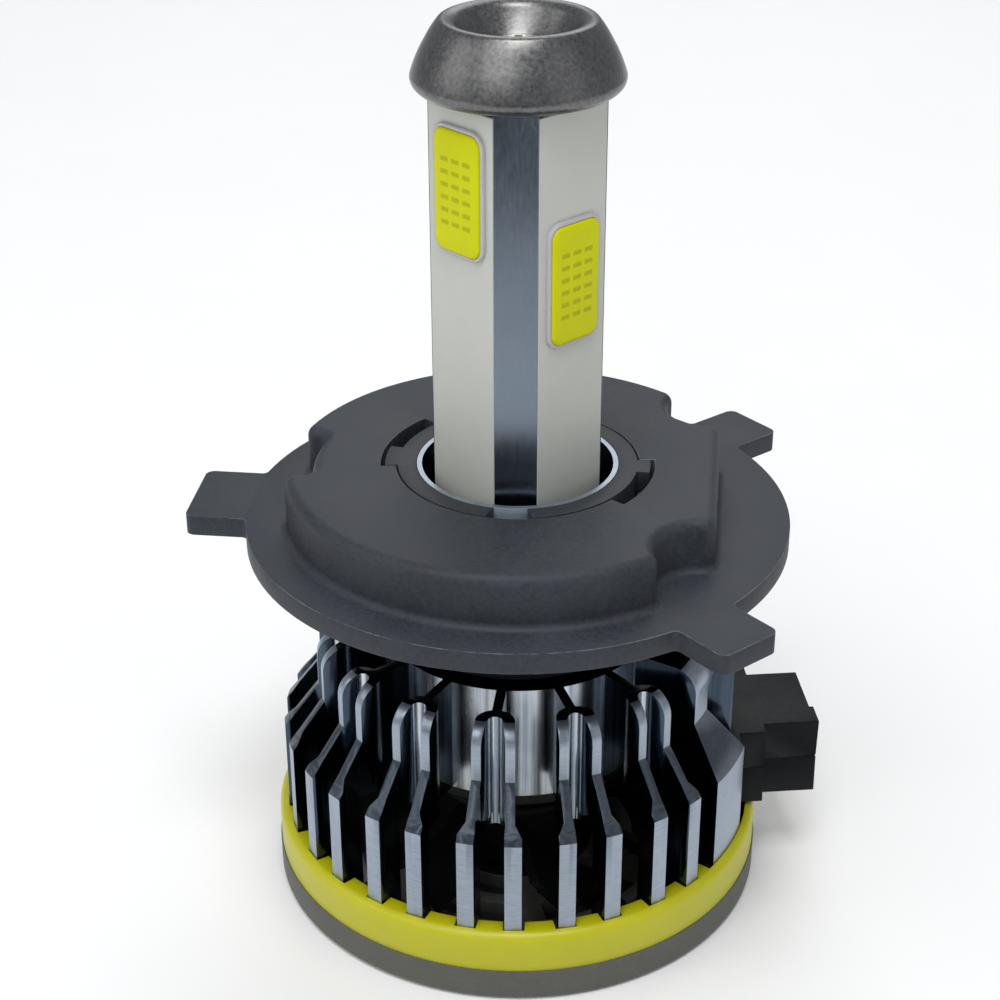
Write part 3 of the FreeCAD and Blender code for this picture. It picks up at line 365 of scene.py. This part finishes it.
def rounded_path(corners: Sequence[tuple[float, float, float]], steps: int) -> list[Vector]:
    """Round the corners of an open path in the XZ plane.

    Args:
        corners: x, z and the length of corner that is rounded away, in millimetres.
        steps: points on each rounded corner.

    Returns:
        Points of the path, in metres.
    """
    spots = [Vector((x, 0, z)) * MM for x, z, _ in corners]
    path = [spots[0]]
    for before, spot, after, (_, _, cut) in zip(spots, spots[1:], spots[2:], corners[1:]):
        if cut == 0:
            path.append(spot)
            continue
        inward = (before - spot).normalized() * cut * MM
        onward = (after - spot).normalized() * cut * MM
        path += interpolate_bezier(spot + inward, spot + inward * CORNER_PULL, spot + onward * CORNER_PULL,
                                   spot + onward, steps)
    return path + [spots[-1]]


def spun(path: Sequence[Vector], steps: int) -> bmesh.types.BMesh:
    """Spin a path about the axis of the bulb into a closed skin.

    Args:
        path: points in the XZ plane, in metres.
        steps: how many steps the full turn has.

    Returns:
        The bmesh.
    """
    bm = bmesh.new()
    verts = [bm.verts.new(spot) for spot in path]
    edges = [bm.edges.new(pair) for pair in zip(verts, verts[1:])]
    bmesh.ops.spin(bm, geom=verts + edges, cent=(0, 0, 0), axis=(0, 0, 1), angle=math.tau, steps=steps,
                   use_merge=True)
    bmesh.ops.remove_doubles(bm, verts=bm.verts, dist=SLIVER_MM * MM)
    bmesh.ops.recalc_face_normals(bm, faces=bm.faces)
    return bm


def tile(width: float, height: float, corner: float) -> bmesh.types.BMesh:
    """A flat plate with round corners in the XZ plane, facing -Y, centred on the origin.

    Args:
        width: size along x, in millimetres.
        height: size along z, in millimetres.
        corner: corner radius, in millimetres.

    Returns:
        The bmesh, one face.
    """
    bm = bmesh.new()
    bmesh.ops.create_grid(bm, x_segments=1, y_segments=1, size=0.5)
    bmesh.ops.scale(bm, vec=(width * MM, height * MM, 1), verts=bm.verts)
    bmesh.ops.bevel(bm, geom=list(bm.verts), offset=corner * MM, segments=CORNER_STEPS, profile=0.5,
                    affect="VERTICES", material=-1)
    bmesh.ops.rotate(bm, matrix=Matrix.Rotation(math.radians(90), 3, "X"), verts=bm.verts)
    return bm


def raised(bm: bmesh.types.BMesh, faces: Sequence[Face], height: float) -> list[Face]:
    """Extrude faces that look along -Y by a height, and give back the moved faces."""
    grown = bmesh.ops.extrude_face_region(bm, geom=list(faces))["geom"]
    verts = [item for item in grown if isinstance(item, bmesh.types.BMVert)]
    bmesh.ops.translate(bm, vec=(0, -height * MM, 0), verts=verts)
    return [item for item in grown if isinstance(item, Face)]


@dataclass
class Softened:
    """A packed node again, with its long hard edges eased as the real piece has them."""

    node: str
    finishes: tuple[Finish, ...]
    ease_mm: float
    segments: int = 2
    hard_degrees: float = 35.0
    sort: Optional[Callable[[Face], int]] = None
    eased_slot: Optional[int] = None
    body: str = "lamp_body"
    shape: Optional[Callable[[bmesh.types.BMesh], None]] = None

    def build(self) -> None:
        """Copy the node's mesh, merge it, ease its edges and dress it."""
        bm = bmesh.new()
        bm.from_mesh(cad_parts[self.node].data)
        bmesh.ops.remove_doubles(bm, verts=bm.verts, dist=MERGE_MM * MM)
        bmesh.ops.dissolve_degenerate(bm, edges=bm.edges, dist=SLIVER_MM * MM)
        bmesh.ops.dissolve_limit(bm, angle_limit=math.radians(FLAT_DEGREES), verts=bm.verts, edges=bm.edges,
                                 use_dissolve_boundaries=False)
        if self.shape:
            self.shape(bm)
        hard = [edge for edge in bm.edges if len(edge.link_faces) == 2
                and edge.calc_face_angle(0) > math.radians(self.hard_degrees)]
        for face in bm.faces:
            face.material_index = self.sort(face) if self.sort else 0
        made = bmesh.ops.bevel(bm, geom=hard, offset=self.ease_mm * MM, segments=self.segments, profile=0.5,
                               affect="EDGES", material=-1, clamp_overlap=True)
        if self.eased_slot is not None:
            for face in made["faces"]:
                face.material_index = self.eased_slot
        bmesh.ops.triangulate(bm, faces=[face for face in bm.faces if len(face.verts) > 4])
        obj = place_object(self.node + "_finished", bm, self.finishes)
        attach(obj, self.body)
        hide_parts(self.node)
        LOG.info("eased %s: %d faces", self.node, len(obj.data.polygons))


def dress(node: str, finish: Finish) -> None:
    """Give a packed node that stays as it is its finish."""
    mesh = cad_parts[node].data
    mesh.materials.clear()
    mesh.materials.append(finish.build())
    LOG.info("dressed %s", node)


# ------------------------------------------------------------------ the lamp end

@dataclass
class LampEnd:
    """Post, boards, chips, cap and cap screw, in millimetres."""

    # radius, height above the cap's foot and length rounded away, from the foot over the crest into the dish
    cap_corners: tuple[tuple[float, float, float], ...] = (
        (6.7, 0, 0.1), (7.35, 0.2, 0.3), (7.92, 0.85, 0.45), (7.35, 2.5, 0.8), (6.3, 4.4, 0.55),
        (5.55, 5.36, 0.45), (4.7, 5.0, 0.33), (4.2, 4.25, 0.4), (3.1, 2.8, 0.7))
    cap_hole: float = 1.35
    cap_corner_steps: int = 8
    cap_turn_steps: int = 128
    dish_radius: float = 2.4
    dish_corner: float = 0.2
    screw_stands: float = 1.1
    gel_width: float = 4.7
    gel_height: float = 9.1
    gel_corner: float = 0.9
    gel_lift: float = 0.15
    gel_thickness: float = 0.35
    # inset and rise of each step of the gel's swollen face
    gel_swell: tuple[tuple[float, float], ...] = ((0.1, 0.06), (0.22, 0.04), (0.4, 0.02))
    dam_width: float = 0.32
    dam_height: float = 0.32
    dam_rounded: float = 0.4
    dam_round_steps: int = 4
    die_pitch: tuple[float, float] = (1.15, 0.95)
    board_ease: float = 0.05
    post_ease: float = 0.08
    screw_ease: float = 0.06

    def cap(self) -> None:
        """Spin the cast cap: flared rim, full flank, rounded crest and a smooth dish."""
        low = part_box("end_cap")[0].z / MM
        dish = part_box("cap_screw")[1].z / MM - self.screw_stands
        corners = [(self.cap_hole, low, 0)]
        corners += [(radius, low + rise, cut) for radius, rise, cut in self.cap_corners]
        corners += [(self.dish_radius, dish, self.dish_corner), (self.cap_hole, dish, 0)]
        path = rounded_path(corners, self.cap_corner_steps)
        path.append(path[0].copy())
        cap = place_object("end_cap_cast", spun(path, self.cap_turn_steps), [CAST_CAP], SKIN_DEGREES)
        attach(cap, "lamp_body")
        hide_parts("end_cap")

    def chip(self, side: str) -> None:
        """Dam and gel on one side of the post.

        Args:
            side: the side's name, as the packed nodes end.
        """
        low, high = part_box("phosphor_gel_" + side)
        middle = (low + high) / 2
        turn = math.atan2(middle.x, -middle.y)
        front = Vector((middle.x, middle.y)).length - (self.gel_lift + self.gel_thickness / 2) * MM
        seat = Matrix.Rotation(turn, 4, "Z") @ Matrix.Translation((0, -front, middle.z))
        marked = OverDies(**{**vars(PHOSPHOR), "name": "phosphor_over_dies_" + side}, turn=turn,
                          middle=middle.z, pitch_mm=self.die_pitch)
        pieces = {"led_dam_": (self.dam(), DAM_SILICONE), "phosphor_gel_": (self.gel(), marked)}
        for prefix, (bm, finish) in pieces.items():
            bmesh.ops.recalc_face_normals(bm, faces=bm.faces)
            bmesh.ops.transform(bm, matrix=seat, verts=bm.verts)
            obj = place_object(prefix + side + "_finished", bm, [finish], SKIN_DEGREES)
            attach(obj, "lamp_body")
            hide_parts(prefix + side)

    def dam(self) -> bmesh.types.BMesh:
        """A bead of silicone round the gel, with a rounded top."""
        rim = self.dam_width
        bm = tile(self.gel_width + 2 * rim, self.gel_height + 2 * rim, self.gel_corner + rim)
        ring = bmesh.ops.inset_region(bm, faces=list(bm.faces), thickness=rim * MM, use_boundary=True,
                                      use_even_offset=True)["faces"]
        inner = [face for face in bm.faces if face not in ring]
        bmesh.ops.delete(bm, geom=inner, context="FACES")
        top = raised(bm, ring, self.dam_height)
        rims = {edge for face in top for edge in face.edges
                if sum(link in top for link in edge.link_faces) == 1}
        bmesh.ops.bevel(bm, geom=list(rims), offset=self.dam_rounded * rim * MM,
                        segments=self.dam_round_steps, profile=0.5, affect="EDGES", material=-1)
        return bm

    def gel(self) -> bmesh.types.BMesh:
        """A filled pad with a slightly swollen face."""
        bm = tile(self.gel_width, self.gel_height, self.gel_corner)
        bmesh.ops.translate(bm, vec=(0, -self.gel_lift * MM, 0), verts=bm.verts)
        top = raised(bm, list(bm.faces), self.gel_thickness - sum(rise for _, rise in self.gel_swell))
        for thickness, rise in self.gel_swell:
            bmesh.ops.inset_region(bm, faces=top, thickness=thickness * MM, use_even_offset=True)
            bmesh.ops.translate(bm, vec=(0, -rise * MM, 0), verts=list({v for f in top for v in f.verts}))
        return bm

    def build(self) -> None:
        """Build and dress everything above the flange."""
        self.cap()
        for side in ("front_left", "front_right", "back_right", "back_left"):
            self.chip(side)
            dress("led_dies_" + side, SAPPHIRE)
            Softened("led_board_" + side, (SOLDER_MASK,), self.board_ease, segments=1).build()
        Softened("led_post", (POLISHED_STRIP,), self.post_ease).build()
        Softened("cap_screw", (NICKEL,), self.screw_ease).build()
        LOG.info("lamp end built")


# ------------------------------------------------------------------ flange and heat sink

class SinkFace(Enum):
    """How each face of the heat sink was made; the faces also carry painted shade and a painted highlight."""

    EXTRUDED_PAINTED_SHADE = 0
    TURNED = 1
    SCUFFED_PAINTED_SHADE = 2
    DRAWN_PAINTED_HIGHLIGHT = 3
    SAWN_PAINTED_SHADE = 4


@dataclass
class HeatSink:
    """Finned heat sink: its faces sorted by how they were cut and by where painted shade and a painted
    highlight go, in millimetres and degrees.
    """

    upper_radius: float = 16.45
    hub_radius: float = 11.0
    top: float = -10.0
    slack: float = 0.1
    # the rib beside the plug, across and along the boss, which stands at an angle, and takes the fins'
    # painted shade for the plug's shadow
    boss_angle: float = 4.9
    rib_across: float = -6.05
    rib_half: float = 0.5
    rib_past: float = 1.0
    # the chamfer between the upper and the lower fins: how far in and how far down it starts
    chamfer_inset: float = 1.6
    chamfer_drop: float = 3.0
    chamfer_slope: float = 0.25
    # the fins' outer faces: how far in they lie, and how square to the radius they look
    tip_inset: float = 2.0
    tip_facing: float = 0.3
    tip_askew: float = 3.0
    # slopes and facings that part the rest, and lay the painted shade and the painted highlight
    rim_slope: float = 0.5
    flat_slope: float = 0.95
    scuffed_shade_slope: float = 0.2
    highlight_facing: float = 0.35
    ease: float = 0.05
    hard_degrees: float = 40.0

    def sort(self, face: Face) -> int:
        """Tell turned, scuffed, sawn and extruded faces apart; the sawn faces, most of the scuffed grey and
        the extruded sides carry painted shade, and the extruded faces that look out, and the hub, a painted
        highlight.

        Args:
            face: a face of the packed heat sink, in metres.

        Returns:
            The number of its material slot.
        """
        middle, normal = face.calc_center_median() / MM, face.normal
        reach = math.hypot(middle.x, middle.y)
        outward = (normal.x * middle.x + normal.y * middle.y) / max(reach, MERGE_MM)
        if middle.z > self.top + self.slack:
            # Faces up here that look inwards or down get the cut ends' painted shade.
            shown = normal.z > self.rim_slope or outward > 0
            return SinkFace.TURNED.value if shown else SinkFace.SAWN_PAINTED_SHADE.value
        turned = middle @ Matrix.Rotation(math.radians(self.boss_angle), 3, "Z")
        on_rib = self.hub_radius < turned.x < self.upper_radius + self.rib_past
        # The rib beside the plug gets the fins' painted shade.
        if on_rib and abs(turned.y - self.rib_across) < self.rib_half:
            return SinkFace.EXTRUDED_PAINTED_SHADE.value
        # Level faces get the cut ends' painted shade.
        if abs(normal.z) > self.flat_slope:
            return SinkFace.SAWN_PAINTED_SHADE.value
        below_neck = middle.z < self.top - self.chamfer_drop
        at_chamfer = reach > self.upper_radius - self.chamfer_inset and below_neck
        if at_chamfer and normal.z > self.chamfer_slope:
            return SinkFace.SCUFFED_PAINTED_SHADE.value
        at_tip = outward > self.tip_facing and reach > self.upper_radius - self.tip_inset
        if at_tip and abs(normal.x * middle.y - normal.y * middle.x) < self.tip_askew:
            return SinkFace.TURNED.value
        # Faces that look up get the scuffed grey, which is partly painted shade.
        if normal.z > self.scuffed_shade_slope:
            return SinkFace.SCUFFED_PAINTED_SHADE.value
        # Faces that look out, and the hub, get the painted highlight; the rest the painted shade.
        if outward > self.highlight_facing or reach < self.hub_radius + self.slack:
            return SinkFace.DRAWN_PAINTED_HIGHLIGHT.value
        return SinkFace.EXTRUDED_PAINTED_SHADE.value

    def build(self) -> None:
        """Ease the packed heat sink and dress it."""
        Softened("heatsink", (EXTRUDED_PAINTED_SHADE, TURNED, SCUFFED_PAINTED_SHADE, DRAWN_PAINTED_HIGHLIGHT, SAWN_PAINTED_SHADE), self.ease, segments=1,
                 hard_degrees=self.hard_degrees, sort=self.sort).build()


@dataclass
class Mounting:
    """Flange and lock collar, in millimetres and degrees."""

    flange_ease: float = 0.16
    flange_hard_degrees: float = 40.0
    collar_ease: float = 0.1

    def build(self) -> None:
        """Ease and dress the flange and the collar."""
        Softened("mounting_flange", (COATED_FLANGE, LIGHTER_EDGE_FLANGE), self.flange_ease,
                 hard_degrees=self.flange_hard_degrees, eased_slot=1, body="flange").build()
        Softened("lock_collar", (BLACK_NYLON,), self.collar_ease).build()
        LOG.info("mounting built")


@dataclass
class Base:
    """Trim ring, base cover and plug socket, in millimetres."""

    ring_ease: float = 0.15
    cover_ease: float = 0.15
    socket_ease: float = 0.18
    groove_width: float = 0.12
    groove_depth: float = 0.09
    cut_slack: float = 0.0001
    line_slack: float = 0.01

    def parting_line(self, bm: bmesh.types.BMesh) -> None:
        """Cut the fine groove that the two halves of the mould left round the socket."""
        low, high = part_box("plug_pins")
        middle = (low.z + high.z) / 2
        for shift in (-self.groove_width / 2, 0.0, self.groove_width / 2):
            bmesh.ops.bisect_plane(bm, geom=bm.verts[:] + bm.edges[:] + bm.faces[:], dist=self.cut_slack * MM,
                                   plane_co=(0, 0, middle + shift * MM), plane_no=(0, 0, 1))
        bm.normal_update()
        for vert in bm.verts:
            if abs(vert.co.z - middle) < self.line_slack * MM:
                vert.co -= Vector((vert.normal.x, vert.normal.y, 0)) * self.groove_depth * MM

    def build(self) -> None:
        """Ease and dress the ring, the cover and the socket."""
        Softened("trim_ring", (YELLOW_RING,), self.ring_ease).build()
        Softened("base_cover", (GREY_ABS,), self.cover_ease).build()
        Softened("plug_socket", (PLUG_NYLON,), self.socket_ease, shape=self.parting_line).build()
        LOG.info("base built")


PLAIN_NODES = {
    "flange_o_ring": RUBBER, "post_screw": NICKEL, "cover_screws": NICKEL, "driver_screws": NICKEL,
    "fan_frame": FAN_PBT, "fan_rotor": FAN_PBT, "fan_bearing": BRONZE, "fan_shaft": STEEL,
    "fan_magnet_ring": FERRITE, "fan_stator_core": STEEL, "fan_coils": COPPER, "driver_inductor": COPPER,
    "fan_circuit_board": BOARD_BLACK, "driver_board": BOARD_BLACK, "driver_capacitors": CAN,
    "driver_chips": EPOXY, "led_leads": LEAD, "plug_pins": TIN,
}


# ------------------------------------------------------------------ studio

@dataclass(frozen=True)
class SoftBox:
    """A square light that looks at the bulb: its name, place and side in metres, and power in watts."""

    name: str
    place: tuple[float, float, float]
    side: float
    power: float

    def build(self) -> None:
        """Hang the light."""
        data = bpy.data.lights.new(self.name, "AREA")
        data.size, data.energy = self.side, self.power
        lamp = bpy.data.objects.new(self.name, data)
        lamp.location = self.place
        lamp.rotation_euler = (-Vector(self.place)).to_track_quat("-Z", "Y").to_euler()
        bpy.context.scene.collection.objects.link(lamp)


@dataclass(frozen=True)
class Sheet:
    """A square that lies level under the bulb: its name, finish, half side, place and drop below the base.

    The half side and the place are in metres and the drop is in millimetres. A sheet that isn't plain to
    see shows in mirror-like faces only.
    """

    name: str
    finish: Finish
    half: float
    place: tuple[float, float] = (0.0, 0.0)
    drop_mm: float = 0.005
    seen: bool = True

    def build(self) -> None:
        """Lay the sheet down as part of the studio."""
        bm = bmesh.new()
        bmesh.ops.create_grid(bm, x_segments=1, y_segments=1, size=self.half)
        bmesh.ops.translate(bm, vec=(*self.place, CAD_BOX[0].z - self.drop_mm * MM), verts=bm.verts)
        sheet = place_object(self.name, bm, [self.finish])
        sheet.visible_camera = sheet.visible_shadow = sheet.visible_diffuse = self.seen


@dataclass
class Studio:
    """Floor, soft light and the camera."""

    floor: Sheet = Sheet("studio_floor", PAPER, 6.0, drop_mm=0.01)
    # The pad under the base is painted shade, so the vents look into the dark.
    cards: tuple[Sheet, ...] = (Sheet("dark_card", FELT_AND_PAINTED_SHADE, 0.2, (0, -0.36), seen=False),
                                Sheet("painted_shade_pad", FELT_AND_PAINTED_SHADE, 0.012))
    soft_boxes: tuple[SoftBox, ...] = (
        SoftBox("back", (0.08, 0.50, 0.50), 0.5, 1.5), SoftBox("top", (0.0, -0.24, 0.78), 0.35, 3.0),
        SoftBox("key", (-0.22, -0.40, 0.50), 0.4, 1.0), SoftBox("side", (-0.60, -0.10, 0.35), 0.4, 0.6),
        SoftBox("fill", (0.55, -0.35, 0.35), 0.5, 0.25))
    sky: str = "eef1f5"
    sky_strength: float = 0.36
    camera_mm: tuple[float, float, float] = (-1.393, -143.70, 77.39)
    elevation: float = 28.05
    roll: float = -0.15
    lens: float = 73.95
    film_width: float = 36.0
    clip: tuple[float, float] = (0.01, 20.0)

    def camera(self) -> None:
        """Put the camera where the bulb is seen from slightly above, square to its front."""
        data = bpy.data.cameras.new("camera")
        data.lens, data.sensor_width = self.lens, self.film_width
        data.clip_start, data.clip_end = self.clip
        camera = bpy.data.objects.new("camera", data)
        camera.location = Vector(self.camera_mm) * MM
        tilt = Matrix.Rotation(math.radians(90 - self.elevation), 3, "X")
        camera.rotation_euler = (tilt @ Matrix.Rotation(math.radians(self.roll), 3, "Z")).to_euler()
        bpy.context.scene.collection.objects.link(camera)
        bpy.context.scene.camera = camera

    def build(self) -> None:
        """Make the floor, the world, the lights and the camera."""
        self.floor.build()
        world = bpy.data.worlds.new("soft_studio")
        world.use_nodes = True
        background = world.node_tree.nodes["Background"]
        background.inputs["Color"].default_value = linear(self.sky)
        background.inputs["Strength"].default_value = self.sky_strength
        bpy.context.scene.world = world
        for piece in (*self.soft_boxes, *self.cards):
            piece.build()
        self.camera()
        bpy.context.scene.view_settings.view_transform = "Standard"


def main() -> None:
    """Build the studio and the bulb in order."""
    logging.basicConfig(level=logging.INFO, format="%(message)s")
    Studio().build()
    LampEnd().build()
    Mounting().build()
    HeatSink().build()
    Base().build()
    for node, finish in PLAIN_NODES.items():
        dress(node, finish)


if __name__ == "__main__":
    main()
